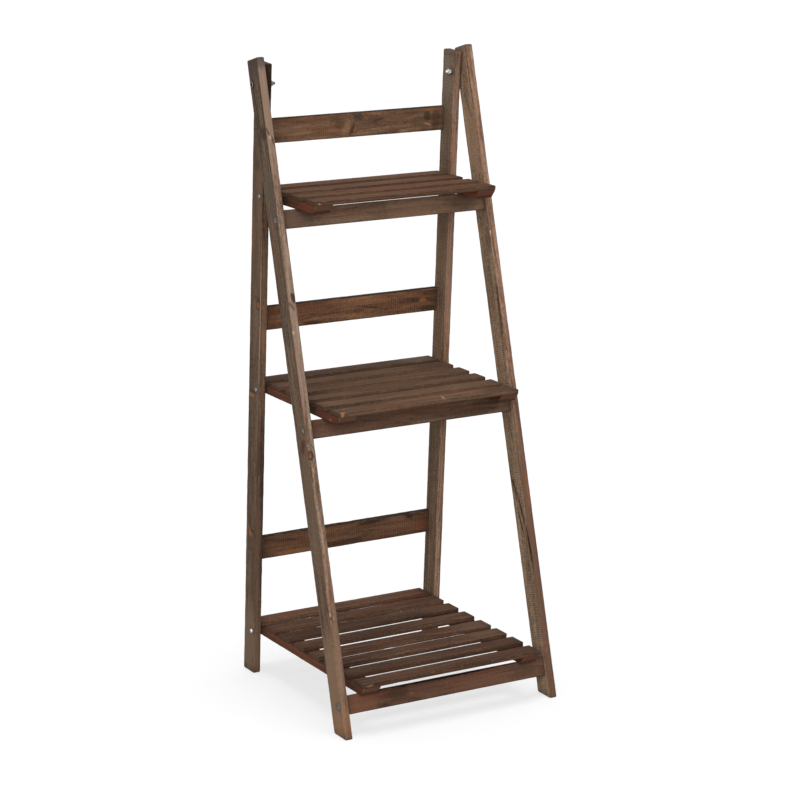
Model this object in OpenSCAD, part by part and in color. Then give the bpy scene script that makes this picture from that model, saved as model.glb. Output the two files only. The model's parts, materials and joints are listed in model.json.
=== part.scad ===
// Folding plant ladder stand: a leaning front frame and a nearly upright rear
// frame are hinged together at the top, and three slatted shelves of growing
// depth are pivoted on the rear legs and lie on the rails of the front frame.
// +X is to the right, +Y to the back, +Z up. The floor is Z = 0.

/* [Overall] */
// Height of the front leg tops above the floor
stand_h = 1080; // [1010:10:1300]
// Width over the outer faces of the front legs
stand_w = 410; // [330:5:500]
// Depth from the front edge of the front feet to the back edge of the rear feet
foot_spread = 400; // [360:5:480]

/* [Legs] */
// Thickness of a leg, from side to side
leg_t = 13.5; // [11:0.5:18]
// Depth of a leg, from its front edge to its back edge
leg_d = 37; // [30:0.5:46]
// Lean of the rear legs, in degrees from upright
rear_lean = 3.6; // [0:0.1:6]
// How far the rear legs end below the front leg tops
rear_leg_drop = 10; // [0:1:20]
// Gap between a front leg and the rear leg beside it
leg_gap = 4; // [3:0.5:8]
// Bevel planed along the edges of legs and rails
frame_ease = 0.8; // [0.3:0.1:1.5]
// Bevel on the top ends of the legs
top_ease = 2.5; // [0.5:0.5:5]

/* [Rails] */
// Thickness of all the cross rails
rail_t = 10; // [8:0.5:14]
// Height of the front rails
front_rail_h = 31; // [22:1:40]
// How far the front rails lie behind the front edges of the legs
front_rail_inset = 5; // [1:0.5:10]
// Height of the rear rails
rear_rail_h = 41.5; // [30:0.5:55]
// Height above the floor of the middle of the top rear rail
top_rear_rail_z = 952; // [930:1:955]
// Height above the floor of the middle of the middle rear rail
middle_rear_rail_z = 632; // [600:1:760]
// Height above the floor of the middle of the bottom rear rail
bottom_rear_rail_z = 221; // [150:1:420]

/* [Shelves] */
// Height of the top shelf's upper surface
top_shelf_z = 859; // [840:1:880]
// Height of the middle shelf's upper surface
middle_shelf_z = 526; // [500:1:560]
// Height of the bottom shelf's upper surface
bottom_shelf_z = 89; // [70:1:120]
// How far the top shelf stands out in front of the legs
top_shelf_nose = 75.5; // [50:0.5:100]
// How far the middle shelf stands out in front of the legs
middle_shelf_nose = 64; // [40:0.5:90]
// How far the bottom shelf stands out in front of the legs
bottom_shelf_nose = 23.5; // [15:0.5:40]
// How far the top shelf runs on behind its pivots
top_shelf_tail = 25; // [15:0.5:40]
// How far the middle shelf runs on behind its pivots
middle_shelf_tail = 31; // [15:0.5:40]
// How far the bottom shelf runs on behind its pivots
bottom_shelf_tail = 31; // [15:0.5:40]
// Width of a slat
slat_w = 34; // [24:0.5:40]
// Thickness of a slat
slat_t = 7; // [4:0.5:9]
// Width of a cleat, the runner under the slat ends
cleat_w = 32; // [28:1:44]
// Height of a cleat
cleat_h = 14.5; // [12:0.5:18]
// Slant of the cleats' front ends, in degrees from upright
cleat_slant = 40; // [0:1:45]
// Gap between a shelf's end and the rear leg beside it
shelf_gap = 4; // [3:0.5:8]
// Bevel along the edges of slats and cleats
shelf_ease = 0.6; // [0.2:0.1:1.2]

/* [Hinge] */
// Depth of the hinge bolts below the front leg tops
hinge_drop = 46; // [30:1:70]
// Distance of the hinge bolts from the leg edges that cross there
hinge_inset = 9; // [7:0.5:14]
// Diameter of the hinge bolts
hinge_bolt_d = 5; // [4:1:6]
// Diameter of the low domed bolt heads
hinge_head_d = 12; // [11:0.5:16]
// Height of the domed bolt heads
hinge_head_h = 3; // [2:0.5:5]
// Width across the flats of the hinge nuts
hinge_nut_w = 8; // [8:1:13]
// Height of the hinge nuts
hinge_nut_h = 4; // [3:0.5:7]
// Diameter of the hinge washers
washer_d = 12; // [12:0.5:18]
// Thickness of the hinge washers
washer_t = 1.6; // [1:0.1:2.5]
// How far the bolt ends stand out of the nuts
bolt_end = 4.5; // [1:0.1:6]

/* [Screws, dowels and pins] */
// Distance of the shelf pivots from the front edge of the rear legs
pivot_inset = 10.5; // [8:0.5:16]
// Height of the shelf pivots above the middle of the cleats
pivot_rise = 1.5; // [0:0.25:2]
// Diameter of the shelf pivot screws
pivot_d = 4.5; // [3.5:0.5:6]
// Diameter of the round heads of the pivot screws
pivot_head_d = 7.5; // [7:0.5:10]
// Height of the heads of the pivot screws
pivot_head_h = 2.2; // [1.5:0.1:2.6]
// Outer diameter of the spacers between the shelves and the rear legs
pivot_spacer_d = 10; // [9:0.5:14]
// Grip of the pivot screws in the cleats
pivot_grip = 17; // [12:0.5:17]
// Diameter of the rail screws
rail_screw_d = 4; // [3:0.5:5]
// Diameter of the sunk heads of the rail screws
rail_screw_head_d = 7.5; // [6:0.5:9]
// Grip of the rail screws in the rails
rail_screw_grip = 26; // [15:1:40]
// Diameter of the dowels in the rear rails
dowel_d = 5; // [4:0.5:6]
// Length of a dowel in the leg, and again in the rail
dowel_reach = 10; // [8:0.5:10]
// Distance between the two dowels at a rail's end
dowel_pitch = 22; // [14:1:26]
// Diameter of the pins that hold the slats
pin_d = 1.4; // [1:0.1:2]
// Length of the pins
pin_len = 13; // [10:0.5:13]
// Distance between the two pins at a slat's end
pin_pitch = 16; // [10:1:18]
// Distance of the pins from the slat ends, clear of the pivot screws
pin_inset = 22; // [19:0.5:24]

/* [Fits] */
// Radial clearance of a bolt or screw that a piece turns on
turn_fit = 0.06; // [0.02:0.01:0.1]
// Radial clearance of a fastener in the piece that it holds
hold_fit = 0.04; // [0.01:0.01:0.05]
// Clearance between flat faces that slide past each other
face_gap = 0.1; // [0.05:0.05:0.3]
// Clearance between the shelf cleats and the rails that they lie on
seat_gap = 0.2; // [0.1:0.05:0.3]

/* [Hidden] */

$fn = 48;

// Stain colours of the wood, and the zinc of the hardware
leg_stain = [0.42, 0.36, 0.30];
rail_stain = [0.40, 0.28, 0.22];
slat_stain = [0.36, 0.27, 0.22];
cleat_stain = [0.38, 0.22, 0.18];
zinc = [0.74, 0.75, 0.76];
birch = [0.80, 0.68, 0.50];

// The sides of the stand
LEFT = -1;
RIGHT = 1;
SIDES = [LEFT, RIGHT];

// The shelves, from the bottom up, and what differs from one to the next
BOTTOM = 0;
MIDDLE = 1;
TOP = 2;
SHELVES = [BOTTOM, MIDDLE, TOP];
slat_count = [8, 6, 4];
shelf_z = [bottom_shelf_z, middle_shelf_z, top_shelf_z];
shelf_nose = [bottom_shelf_nose, middle_shelf_nose, top_shelf_nose];
shelf_tail = [bottom_shelf_tail, middle_shelf_tail, top_shelf_tail];
// How far each slat was nailed behind its even place, from the front one to the back one
slat_stray = [[0, 0.3, 0.1, -1.3, 1.2, 2.5, 1.1, 0], [0, 0.4, 0, -0.5, 0.3, 0], [0, -0.5, 0.3, 0]];
rear_rail_z = [bottom_rear_rail_z, middle_rear_rail_z, top_rear_rail_z];

// Overrun of cutting tools past the faces that they cut
over = 1;

// Stations from the middle of the stand outwards
front_leg_out = stand_w / 2;
front_leg_in = front_leg_out - leg_t;
rear_leg_out = front_leg_in - leg_gap;
rear_leg_in = rear_leg_out - leg_t;
shelf_half = rear_leg_in - shelf_gap;

// The hinge lies hinge_inset behind the front edge of the rear leg
hinge_z = stand_h - hinge_drop;
hinge_y = rear_face_y(hinge_z) - (leg_d - hinge_inset) / cos(rear_lean);

// The front leg's lean brings its back edge hinge_inset behind the hinge
hinge_run = hinge_y + foot_spread / 2;
hinge_dist = sqrt(pow(hinge_run, 2) + pow(hinge_z, 2));
front_lean = atan2(hinge_run, hinge_z) - asin((leg_d - hinge_inset) / hinge_dist);

front_leg_len = stand_h / cos(front_lean) + top_ease * tan(front_lean);
rear_leg_len = (stand_h - rear_leg_drop) / cos(rear_lean) + top_ease * tan(rear_lean);

// Depth of the back face of the rear legs, and of the front face of the front legs
function rear_face_y(z) = foot_spread / 2 - z * tan(rear_lean);
function front_face_y(z) = z * tan(front_lean) - foot_spread / 2;

// Pivot of a shelf: pivot_rise above its cleats' middle, pivot_inset into the rear legs
function pivot_z(k) = shelf_z[k] - slat_t - cleat_h / 2 + pivot_rise;
function pivot_y(k) = rear_face_y(pivot_z(k)) - (leg_d - pivot_inset) / cos(rear_lean);

// Front and back edge of a shelf, and the step from one slat to the next
function shelf_front(k) = front_face_y(shelf_z[k]) - shelf_nose[k];
function shelf_back(k) = pivot_y(k) + shelf_tail[k];
function slat_pitch(k) = (shelf_back(k) - shelf_front(k) - slat_w) / (slat_count[k] - 1);
function slat_front(k, n) = shelf_front(k) + (n - 1) * slat_pitch(k) + slat_stray[k][n - 1];

// Place along the front leg of a front rail's upper edge, which the cleats lie on
function front_rail_top(k) = (shelf_z[k] - slat_t - cleat_h - seat_gap
    + front_rail_inset * sin(front_lean)) / cos(front_lean);

// Puts a piece drawn along the front leg, its front edge at Y = 0, in its leaning place
module lean_front() {
    translate([0, -foot_spread / 2, 0]) rotate([-front_lean, 0, 0]) children();
}

// Puts a piece drawn along the rear leg, its back edge at Y = 0, in its leaning place
module lean_rear() {
    translate([0, foot_spread / 2, 0]) rotate([rear_lean, 0, 0]) children();
}

// Section of a board with its four edges bevelled, from the origin to [w, d]
module eased_section(w, d, ease) {
    polygon([
        [ease, 0], [w - ease, 0], [w, ease], [w, d - ease],
        [w - ease, d], [ease, d], [0, d - ease], [0, ease]
    ]);
}

// Board that lies across the stand, centred in X, from the origin to [d, h] in Y and Z
module cross_board(len, d, h, ease) {
    translate([-len / 2, 0, 0]) rotate([90, 0, 90]) linear_extrude(len) eased_section(d, h, ease);
}

// Round hole along X through a piece from x0 to x1, at the side-view place yz
module cross_hole(yz, x0, x1, r) {
    translate([min(x0, x1), yz[0], yz[1]]) rotate([0, 90, 0]) cylinder(r = r, h = abs(x1 - x0));
}

// Ring round the X axis, from the origin to t, with the bore r
module ring(od, r, t) {
    rotate([0, 90, 0]) difference() {
        cylinder(d = od, h = t);
        translate([0, 0, -over]) cylinder(r = r, h = t + 2 * over);
    }
}

// Everything below the floor, which cuts the feet level
module below_floor() {
    translate([-stand_w, -foot_spread, -2 * leg_d]) cube([2 * stand_w, 2 * foot_spread, 2 * leg_d]);
}

// Wedge that bevels the top end of a leg at its edge y, where dir points out of the leg
module top_wedge(y, len, dir) {
    translate([-over, y, len]) rotate([dir * 45, 0, 0])
        translate([0, -leg_t, -top_ease * sqrt(0.5)]) cube([leg_t + 2 * over, 2 * leg_t, leg_t]);
}

// Straight leg with bevelled edges from Y = y0 to y0 + leg_d, cut square at the top
module leg_stick(y0, len) {
    difference() {
        translate([0, y0, -leg_d]) linear_extrude(len + leg_d) eased_section(leg_t, leg_d, frame_ease);
        top_wedge(y0, len, 1);
        top_wedge(y0 + leg_d, len, -1);
    }
}

// ---- Front frame ----

// Place of the rail screws in the front leg
function rail_screw_at(k) = [front_rail_inset + rail_t / 2, front_rail_top(k) - front_rail_h / 2];

// Rail screw, drawn along +X with the flat of its sunk head at X = 0
module rail_screw() {
    head_h = (rail_screw_head_d - rail_screw_d) / 2;
    rotate([0, 90, 0]) rotate_extrude() polygon([
        [0, 0], [rail_screw_head_d / 2, 0], [rail_screw_d / 2, head_h],
        [rail_screw_d / 2, leg_t + rail_screw_grip - rail_screw_d],
        [0, leg_t + rail_screw_grip]
    ]);
}

// The room that a rail screw takes in the wood
module rail_screw_room() {
    head_h = (rail_screw_head_d - rail_screw_d) / 2;
    rotate([0, 90, 0]) rotate_extrude() polygon([
        [0, -over], [rail_screw_head_d / 2 + hold_fit + over, -over],
        [rail_screw_d / 2 + hold_fit, head_h],
        [rail_screw_d / 2 + hold_fit, leg_t + rail_screw_grip + hold_fit],
        [0, leg_t + rail_screw_grip + hold_fit]
    ]);
}

// Puts a rail screw's shape through the left or right front leg into rail k
module at_rail_screw(side, k) {
    yz = rail_screw_at(k);
    lean_front() translate([side * front_leg_out, yz[0], yz[1]]) mirror([side > 0 ? 1 : 0, 0, 0]) children();
}

module front_leg(side) {
    color(leg_stain) difference() {
        lean_front() translate([side > 0 ? front_leg_in : -front_leg_out, 0, 0])
            leg_stick(0, front_leg_len);
        below_floor();
        cross_hole([hinge_y, hinge_z], side * (front_leg_in - over), side * (front_leg_out + over),
            hinge_bolt_d / 2 + turn_fit);
        for (k = SHELVES) at_rail_screw(side, k) rail_screw_room();
    }
}

module front_rail(k) {
    color(rail_stain) difference() {
        lean_front() translate([0, front_rail_inset, front_rail_top(k) - front_rail_h])
            cross_board(2 * front_leg_in, rail_t, front_rail_h, frame_ease);
        for (side = SIDES) at_rail_screw(side, k) rail_screw_room();
    }
}

module front_rail_screws() {
    color(zinc) for (side = SIDES, k = SHELVES) at_rail_screw(side, k) rail_screw();
}

// ---- Rear frame ----

// Height along the rear leg of the middle of rear rail k
function rear_rail_mid(k) = rear_rail_z[k] / cos(rear_lean);

// Puts a dowel's shape at each end of rear rail k, drawn along X and centred on the joint
module at_dowels(side, k) {
    for (up = [-0.5, 0.5])
        lean_rear() translate([side * rear_leg_in, -rail_t / 2, rear_rail_mid(k) + up * dowel_pitch])
            rotate([0, 90, 0]) children();
}

module dowel(fit) {
    cylinder(d = dowel_d + 2 * fit, h = 2 * (dowel_reach + fit), center = true);
}

module rear_leg(side) {
    color(leg_stain) difference() {
        lean_rear() translate([side > 0 ? rear_leg_in : -rear_leg_out, 0, 0])
            leg_stick(-leg_d, rear_leg_len);
        below_floor();
        cross_hole([hinge_y, hinge_z], side * (rear_leg_in - over), side * (rear_leg_out + over),
            hinge_bolt_d / 2 + hold_fit);
        for (k = SHELVES) {
            cross_hole([pivot_y(k), pivot_z(k)], side * (rear_leg_in - over), side * (rear_leg_out + over),
                pivot_d / 2 + turn_fit);
            at_dowels(side, k) dowel(hold_fit);
        }
    }
}

module rear_rail(k) {
    color(rail_stain) difference() {
        lean_rear() translate([0, -rail_t, rear_rail_mid(k) - rear_rail_h / 2])
            cross_board(2 * rear_leg_in, rail_t, rear_rail_h, frame_ease);
        for (side = SIDES) at_dowels(side, k) dowel(hold_fit);
    }
}

module rear_rail_dowels() {
    color(birch) for (side = SIDES, k = SHELVES) at_dowels(side, k) dowel(0);
}

// ---- Top hinge ----

// Puts a shape drawn from the origin towards +X on the hinge line, x out from the middle,
// reaching outwards
module on_hinge(side, x) {
    translate([side * x, hinge_y, hinge_z]) mirror([side > 0 ? 0 : 1, 0, 0]) children();
}

// Bolt with a low domed head, drawn from the end of its shank towards +X
module hinge_bolt(side) {
    tip_x = rear_leg_in - washer_t - hinge_nut_h - bolt_end;
    shank = front_leg_out + face_gap - tip_x;
    dome_r = (pow(hinge_head_d / 2, 2) + pow(hinge_head_h, 2)) / (2 * hinge_head_h);
    point = hinge_bolt_d / 8;
    color(zinc) on_hinge(side, tip_x) rotate([0, 90, 0]) rotate_extrude() polygon(concat(
        [[0, 0], [hinge_bolt_d / 2 - point, 0], [hinge_bolt_d / 2, point],
         [hinge_bolt_d / 2, shank], [hinge_head_d / 2, shank]],
        [for (i = [1:11]) let (h = hinge_head_h * i / 12)
            [sqrt(pow(dome_r, 2) - pow(dome_r - hinge_head_h + h, 2)), shank + h]],
        [[0, shank + hinge_head_h]]
    ));
}

module hinge_spacers() {
    color(zinc) for (side = SIDES) on_hinge(side, rear_leg_out + face_gap)
        ring(washer_d, hinge_bolt_d / 2 + turn_fit, leg_gap - 2 * face_gap);
}

module hinge_washers() {
    color(zinc) for (side = SIDES) on_hinge(side, rear_leg_in - washer_t)
        ring(washer_d, hinge_bolt_d / 2 + turn_fit, washer_t);
}

// Hexagonal nut with its corners turned off at both faces
module nut() {
    corner_r = hinge_nut_w / 2 / cos(30);
    turned = corner_r - hinge_nut_w / 2;
    rotate([0, 90, 0]) difference() {
        intersection() {
            cylinder(r = corner_r, h = hinge_nut_h, $fn = 6);
            rotate_extrude() polygon([
                [0, 0], [hinge_nut_w / 2, 0], [corner_r + over, (turned + over) / 2],
                [corner_r + over, hinge_nut_h - (turned + over) / 2],
                [hinge_nut_w / 2, hinge_nut_h], [0, hinge_nut_h]
            ]);
        }
        translate([0, 0, -over]) cylinder(r = hinge_bolt_d / 2 + hold_fit, h = hinge_nut_h + 2 * over);
    }
}

module hinge_nuts() {
    color(zinc) for (side = SIDES) on_hinge(side, rear_leg_in - washer_t - hinge_nut_h) nut();
}

// ---- Shelves ----

// Puts the two pins of slat n at one side, drawn from the slat's top downwards
module at_pins(k, n, side) {
    for (across = [-0.5, 0.5])
        translate([side * (shelf_half - pin_inset),
            slat_front(k, n) + slat_w / 2 + across * pin_pitch, shelf_z[k]]) children();
}

module pin() {
    translate([0, 0, -pin_len]) cylinder(d = pin_d, h = pin_len);
}

module pin_room() {
    translate([0, 0, -pin_len - hold_fit]) cylinder(d = pin_d + 2 * hold_fit, h = pin_len + over);
}

// Slat n of shelf k, counted from the front
module shelf_slat(k, n) {
    color(slat_stain) difference() {
        translate([0, slat_front(k, n), shelf_z[k] - slat_t])
            cross_board(2 * shelf_half, slat_w, slat_t, shelf_ease);
        for (side = SIDES) at_pins(k, n, side) pin_room();
    }
}

// Side view of a cleat: square behind, its front end cut back at a slant towards the bottom
module cleat_profile(len) {
    slant = tan(cleat_slant);
    polygon([
        [-over * slant, cleat_h + over], [(cleat_h + over) * slant, -over], [len, -over],
        [len, cleat_h + over]
    ]);
}

// Cleat with its lower edges bevelled
module shelf_cleat(k, side) {
    len = shelf_back(k) - shelf_front(k);
    color(cleat_stain) difference() {
        translate([side > 0 ? shelf_half - cleat_w : -shelf_half, shelf_front(k),
            shelf_z[k] - slat_t - cleat_h]) intersection() {
            translate([0, len + over, 0]) rotate([90, 0, 0]) linear_extrude(len + 2 * over) polygon([
                [shelf_ease, 0], [cleat_w - shelf_ease, 0], [cleat_w, shelf_ease],
                [cleat_w, cleat_h], [0, cleat_h], [0, shelf_ease]
            ]);
            translate([-over, 0, 0]) rotate([90, 0, 90])
                linear_extrude(cleat_w + 2 * over) cleat_profile(len);
        }
        cross_hole([pivot_y(k), pivot_z(k)], side * (shelf_half - pivot_grip - hold_fit),
            side * (shelf_half + over), pivot_d / 2 + hold_fit);
        for (n = [1:slat_count[k]]) at_pins(k, n, side) pin_room();
    }
}

module slat_pins(k) {
    color(zinc) for (side = SIDES, n = [1:slat_count[k]]) at_pins(k, n, side) pin();
}

// Puts a shape drawn from the origin towards +X on the pivot line of shelf k
module on_pivot(k, side, x) {
    translate([side * x, pivot_y(k), pivot_z(k)]) mirror([side > 0 ? 0 : 1, 0, 0]) children();
}

// Screws that the shelf turns on: the plain shank runs through the rear leg into the cleat
module pivot_screws(k) {
    shank = rear_leg_out + face_gap - (shelf_half - pivot_grip);
    point = pivot_d / 2;
    rim = pivot_head_h / 3;
    color(zinc) for (side = SIDES) on_pivot(k, side, shelf_half - pivot_grip)
        rotate([0, 90, 0]) rotate_extrude() polygon([
            [0, 0], [pivot_d / 2, point], [pivot_d / 2, shank], [pivot_head_d / 2, shank],
            [pivot_head_d / 2, shank + rim], [pivot_head_d / 2 - rim, shank + 2 * rim],
            [pivot_head_d / 4, shank + pivot_head_h], [0, shank + pivot_head_h]
        ]);
}

module pivot_spacers(k) {
    color(zinc) for (side = SIDES) on_pivot(k, side, shelf_half + face_gap)
        ring(pivot_spacer_d, pivot_d / 2 + hold_fit, shelf_gap - 2 * face_gap);
}

front_leg(LEFT);  // front_leg_left
front_leg(RIGHT);  // front_leg_right
front_rail(TOP);  // front_rail_top
front_rail(MIDDLE);  // front_rail_middle
front_rail(BOTTOM);  // front_rail_bottom
front_rail_screws();
rear_leg(LEFT);  // rear_leg_left
rear_leg(RIGHT);  // rear_leg_right
rear_rail(TOP);  // rear_rail_top
rear_rail(MIDDLE);  // rear_rail_middle
rear_rail(BOTTOM);  // rear_rail_bottom
rear_rail_dowels();
hinge_bolt(LEFT);  // hinge_bolt_left
hinge_bolt(RIGHT);  // hinge_bolt_right
hinge_spacers();
hinge_washers();
hinge_nuts();
shelf_slat(TOP, 1);  // top_slat_1
shelf_slat(TOP, 2);  // top_slat_2
shelf_slat(TOP, 3);  // top_slat_3
shelf_slat(TOP, 4);  // top_slat_4
shelf_cleat(TOP, LEFT);  // top_cleat_left
shelf_cleat(TOP, RIGHT);  // top_cleat_right
slat_pins(TOP);  // top_slat_pins
pivot_screws(TOP);  // top_pivot_screws
pivot_spacers(TOP);  // top_pivot_spacers
shelf_slat(MIDDLE, 1);  // middle_slat_1
shelf_slat(MIDDLE, 2);  // middle_slat_2
shelf_slat(MIDDLE, 3);  // middle_slat_3
shelf_slat(MIDDLE, 4);  // middle_slat_4
shelf_slat(MIDDLE, 5);  // middle_slat_5
shelf_slat(MIDDLE, 6);  // middle_slat_6
shelf_cleat(MIDDLE, LEFT);  // middle_cleat_left
shelf_cleat(MIDDLE, RIGHT);  // middle_cleat_right
slat_pins(MIDDLE);  // middle_slat_pins
pivot_screws(MIDDLE);  // middle_pivot_screws
pivot_spacers(MIDDLE);  // middle_pivot_spacers
shelf_slat(BOTTOM, 1);  // bottom_slat_1
shelf_slat(BOTTOM, 2);  // bottom_slat_2
shelf_slat(BOTTOM, 3);  // bottom_slat_3
shelf_slat(BOTTOM, 4);  // bottom_slat_4
shelf_slat(BOTTOM, 5);  // bottom_slat_5
shelf_slat(BOTTOM, 6);  // bottom_slat_6
shelf_slat(BOTTOM, 7);  // bottom_slat_7
shelf_slat(BOTTOM, 8);  // bottom_slat_8
shelf_cleat(BOTTOM, LEFT);  // bottom_cleat_left
shelf_cleat(BOTTOM, RIGHT);  // bottom_cleat_right
slat_pins(BOTTOM);  // bottom_slat_pins
pivot_screws(BOTTOM);  // bottom_pivot_screws
pivot_spacers(BOTTOM);  // bottom_pivot_spacers
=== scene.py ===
import json
import math

import bmesh
import bpy
from mathutils import Matrix, Vector, noise


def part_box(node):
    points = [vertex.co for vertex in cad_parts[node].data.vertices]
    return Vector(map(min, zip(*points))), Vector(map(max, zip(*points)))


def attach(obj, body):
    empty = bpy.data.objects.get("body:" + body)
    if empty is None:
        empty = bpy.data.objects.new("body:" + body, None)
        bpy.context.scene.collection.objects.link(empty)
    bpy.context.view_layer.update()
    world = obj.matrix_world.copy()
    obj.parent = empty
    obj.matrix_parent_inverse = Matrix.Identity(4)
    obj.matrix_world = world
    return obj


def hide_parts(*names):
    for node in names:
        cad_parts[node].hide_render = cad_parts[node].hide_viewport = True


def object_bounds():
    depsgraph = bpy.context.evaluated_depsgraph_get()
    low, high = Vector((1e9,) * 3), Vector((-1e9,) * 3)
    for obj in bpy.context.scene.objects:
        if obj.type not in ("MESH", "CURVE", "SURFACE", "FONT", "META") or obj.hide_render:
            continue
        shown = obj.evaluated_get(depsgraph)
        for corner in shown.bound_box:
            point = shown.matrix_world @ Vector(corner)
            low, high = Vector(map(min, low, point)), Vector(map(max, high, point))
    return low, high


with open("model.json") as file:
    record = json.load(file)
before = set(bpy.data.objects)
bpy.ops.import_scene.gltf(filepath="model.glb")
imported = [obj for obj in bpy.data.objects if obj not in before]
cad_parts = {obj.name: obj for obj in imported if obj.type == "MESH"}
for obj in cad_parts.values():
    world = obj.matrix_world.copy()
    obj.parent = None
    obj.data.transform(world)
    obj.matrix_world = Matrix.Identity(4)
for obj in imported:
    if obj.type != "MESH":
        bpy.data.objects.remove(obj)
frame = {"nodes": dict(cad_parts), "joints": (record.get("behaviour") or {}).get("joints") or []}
cad_low, cad_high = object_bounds()
scene = bpy.context.scene

# ---- Camera ----
# A long lens from the front left and a little above, as in a product photograph. The view's
# centre lies slightly below the lens axis, as in a picture that was cropped.
VIEW_AZIMUTH = math.radians(-30.05)
VIEW_ELEVATION = math.radians(13.36)
VIEW_ROLL = math.radians(0.06)
VIEW_DISTANCE = 4.423
FOCAL_PIXELS, PICTURE_PIXELS, SENSOR_MM = 2637.3, 800, 36
AXIS_RIGHT_PIXELS, AXIS_DOWN_PIXELS = -6.27, -21.84

aim = Vector((0, 0, cad_high.z / 2))
outwards = Vector((math.sin(VIEW_AZIMUTH) * math.cos(VIEW_ELEVATION),
                   -math.cos(VIEW_AZIMUTH) * math.cos(VIEW_ELEVATION),
                   math.sin(VIEW_ELEVATION)))
level_right = Vector((math.cos(VIEW_AZIMUTH), math.sin(VIEW_AZIMUTH), 0))
level_up = outwards.cross(level_right)
view_right = math.cos(VIEW_ROLL) * level_right + math.sin(VIEW_ROLL) * level_up
view_up = outwards.cross(view_right)

lens = bpy.data.cameras.new("camera")
lens.sensor_width = SENSOR_MM
lens.lens = FOCAL_PIXELS * SENSOR_MM / PICTURE_PIXELS
lens.shift_x = -AXIS_RIGHT_PIXELS / PICTURE_PIXELS
lens.shift_y = AXIS_DOWN_PIXELS / PICTURE_PIXELS
lens.clip_end = 100
camera = bpy.data.objects.new("camera", lens)
camera.matrix_world = Matrix.Translation(aim + VIEW_DISTANCE * outwards) @ Matrix(
    (view_right, view_up, outwards)).transposed().to_4x4()
scene.collection.objects.link(camera)
scene.camera = camera
scene.view_settings.view_transform = "Standard"

# ---- Studio ----
# A white sweep lit evenly from all round, with a small soft lamp overhead, another over the floor
# only, and a large one at the front left that is flagged off the floor. Only what the camera or a
# shiny surface sees of the floor and the air is lifted to white.
AIR_LIGHT = 0.65
OVERHEAD_LIGHT, SWEEP_LIGHT, FRONT_LIGHT = 0.7, 0.45, 1.9
OVERHEAD_AIM, FRONT_AIM = (24, 10, 87), (40, -38, 25)
FLOOR_ALBEDO, FLOOR_LIFT = 0.34, 0.695
FLOOR_HALF = 40


def node_maker(tree):
    """Empties a node tree, and returns a function that adds nodes to it. A node's inputs are given
    by number, or by name with _ for a space, to be set or linked; its settings in lower case."""
    tree.nodes.clear()

    def add(kind, *numbered, **named):
        node = tree.nodes.new("ShaderNode" + kind)
        for setting in [name for name in named if name.islower()]:
            setattr(node, setting, named.pop(setting))
        named = {name.replace("_", " "): value for name, value in named.items()}
        for key, value in (*enumerate(numbered), *named.items()):
            if isinstance(value, bpy.types.Node):
                value = value.outputs[0]
            if isinstance(value, bpy.types.NodeSocket):
                tree.links.new(value, node.inputs[key])
            elif value is not None:
                node.inputs[key].default_value = value
        return node

    return add


def seen_directly(add):
    path = add("LightPath")
    seen = path.outputs["Is Camera Ray"]
    for ray in ("Is Glossy Ray", "Is Transmission Ray"):
        seen = add("Math", seen, path.outputs[ray], operation="MAXIMUM")
    return seen


air = bpy.data.worlds.new("studio_air")
scene.world = air
air.use_nodes = True
add = node_maker(air.node_tree)
lit = add("Background", Color=(1, 1, 1, 1), Strength=AIR_LIGHT)
white = add("Background", Color=(1, 1, 1, 1), Strength=1)
add("OutputWorld", Surface=add("MixShader", seen_directly(add), lit, white))


def soft_lamp(name, strength, aim):
    """A large lamp. Its aim is how wide it looks, its azimuth and its elevation, in degrees."""
    softness, azimuth, elevation = (math.radians(angle) for angle in aim)
    lamp = bpy.data.lights.new(name, "SUN")
    lamp.energy = strength
    lamp.angle = softness
    held = bpy.data.objects.new(name, lamp)
    held.rotation_euler = (math.pi / 2 - elevation, 0, azimuth)
    scene.collection.objects.link(held)
    return held


soft_lamp("overhead_lamp", OVERHEAD_LIGHT, OVERHEAD_AIM)
sweep_lamp = soft_lamp("sweep_lamp", SWEEP_LIGHT, OVERHEAD_AIM)
front_lamp = soft_lamp("front_lamp", FRONT_LIGHT, FRONT_AIM)

floor_mesh = bpy.data.meshes.new("floor")
floor_mesh.from_pydata(
    [(x * FLOOR_HALF, y * FLOOR_HALF, 0) for x, y in ((-1, -1), (1, -1), (1, 1), (-1, 1))],
    [], [(0, 1, 2, 3)])
floor = bpy.data.objects.new("floor", floor_mesh)
scene.collection.objects.link(floor)


def new_material(name):
    material = bpy.data.materials.new(name)
    material.use_nodes = True
    return material, node_maker(material.node_tree)


sweep, add = new_material("white_sweep")
matt = add("BsdfDiffuse", Color=(FLOOR_ALBEDO, FLOOR_ALBEDO, FLOOR_ALBEDO, 1))
unlifted, lifted = (add("Emission", Strength=strength) for strength in (0, FLOOR_LIFT))
lift = add("MixShader", seen_directly(add), unlifted, lifted)
add("OutputMaterial", Surface=add("AddShader", matt, lift))
floor_mesh.materials.append(sweep)
for lamp, how in ((sweep_lamp, "INCLUDE"), (front_lamp, "EXCLUDE")):
    receivers = bpy.data.collections.new(f"{lamp.name}_receivers")
    receivers.objects.link(floor)
    lamp.light_linking.receiver_collection = receivers
    receivers.collection_objects[0].light_linking.link_state = how

# ---- Front legs ----
# Two long boards of sawn softwood, brushed with dark stain, that lean back to the hinge. Their
# edges are planed narrow and rubbed paler than the sawn sides, and the feet are cut level.
LEG_DEPTH = 0.037
LEG_END_EASE = 0.0025
HINGE_INSET = 0.009
RING_STEP = 0.004
BOARD_RADIUS = 0.0011
ARC_STEPS = 3
FACE_DIP, NICK_EVERY = 0.0001, 0.05
RING_PITCH, RUN_OUT = 0.0042, 0.012
SAW_PITCH = 0.0038
SHARP_OVER = math.radians(35)
# How strongly the dirt and painted shade round the fasteners cover the stain
GRIME_AND_SHADE_STRENGTH = 0.65
MM = 0.001


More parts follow.
